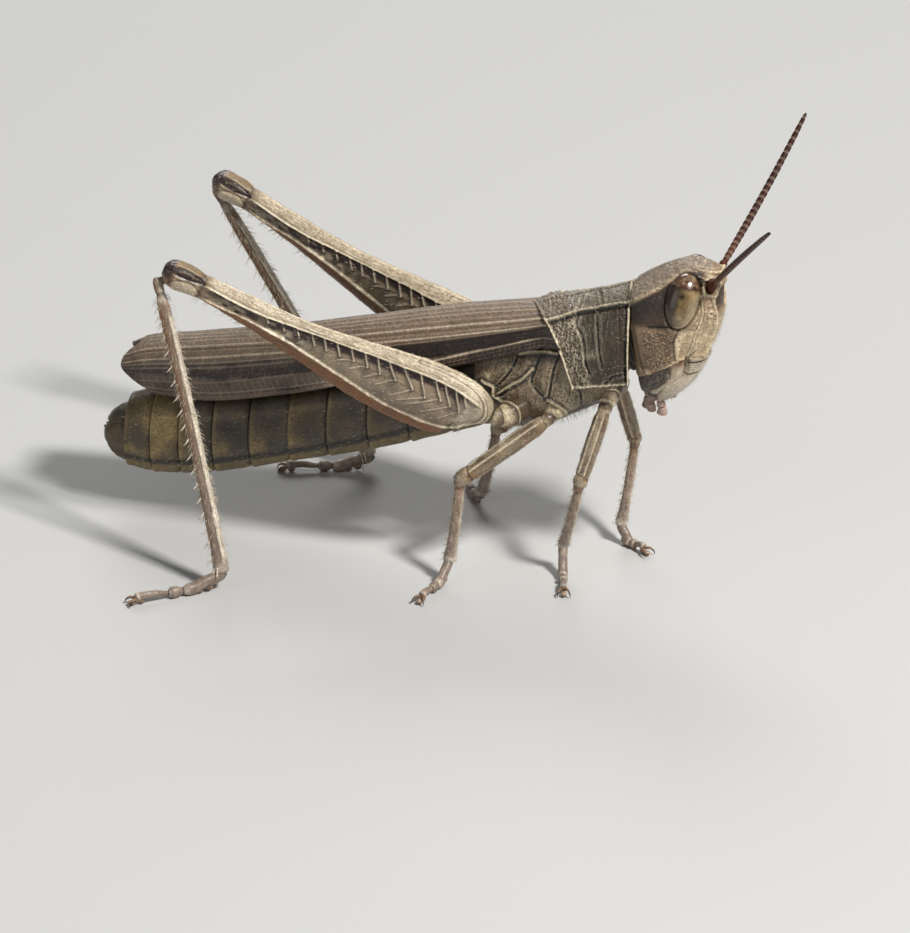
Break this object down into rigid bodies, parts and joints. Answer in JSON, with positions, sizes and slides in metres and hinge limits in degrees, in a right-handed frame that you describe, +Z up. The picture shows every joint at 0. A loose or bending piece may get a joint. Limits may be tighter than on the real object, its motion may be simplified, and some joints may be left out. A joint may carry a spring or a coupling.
{
  "type": "short-horned grasshopper",
  "caption": "Standing adult short-horned grasshopper with slanted face, keeled pronotum, folded wings past mid-abdomen and long raised jumping legs.",
  "frame": {"origin": "on the floor under the middle of the whole standing animal's box", "axes": "+X the way the head points, +Y the animal's left side, +Z up"},
  "size_m": [0.0222, 0.0128, 0.0138],
  "materials": {
    "cuticle_tan": "finely grained dry horn-like skin plate, grey-brown above and straw below",
    "cuticle_side": "pitted olive-brown skin plate with dark seams and fine pale hairs",
    "mouthparts": "smooth straw horn with dark brown edges",
    "eye": "smooth glossy compound eye, red-brown above and tan below",
    "antenna": "dark brown ringed horn with pale joints",
    "wing": "leathery veined wing case, straw above, dark band and white stripe at the side",
    "abdomen": "ringed olive-yellow plates with a soft sheen",
    "leg_straw": "straw horn with raised ridges, dark spots on the hind thigh",
    "leg_pink": "pinkish grey-brown horn with pale bristles and dark-tipped spines"
  },
  "bodies": {
    "root": {"head": "cuticle_tan", "clypeus_labrum": "mouthparts", "mandible_right": "mouthparts", "mandible_left": "mouthparts", "neck": "cuticle_side", "eye_right": "eye", "eye_left": "eye", "palp_right": "mouthparts", "palp_left": "mouthparts", "antenna_right": "antenna", "antenna_left": "antenna", "pronotum": "cuticle_tan", "thorax": "cuticle_side", "abdomen_front": "abdomen", "abdomen_rear": "abdomen", "ovipositor": "abdomen", "forewing_right": "wing", "forewing_left": "wing", "fore_right_coxa": "cuticle_side", "fore_right_femur": "leg_straw", "fore_right_tibia": "leg_straw", "fore_right_tarsus": "leg_pink", "fore_left_coxa": "cuticle_side", "fore_left_femur": "leg_straw", "fore_left_tibia": "leg_straw", "fore_left_tarsus": "leg_pink", "mid_right_coxa": "cuticle_side", "mid_right_femur": "leg_straw", "mid_right_tibia": "leg_straw", "mid_right_tarsus": "leg_pink", "mid_left_coxa": "cuticle_side", "mid_left_femur": "leg_straw", "mid_left_tibia": "leg_straw", "mid_left_tarsus": "leg_pink", "hind_right_coxa": "cuticle_side", "hind_right_femur": "leg_straw", "hind_right_tibia": "leg_pink", "hind_right_tarsus": "leg_pink", "hind_left_coxa": "cuticle_side", "hind_left_femur": "leg_straw", "hind_left_tibia": "leg_pink", "hind_left_tarsus": "leg_pink"}
  },
  "joints": []
}
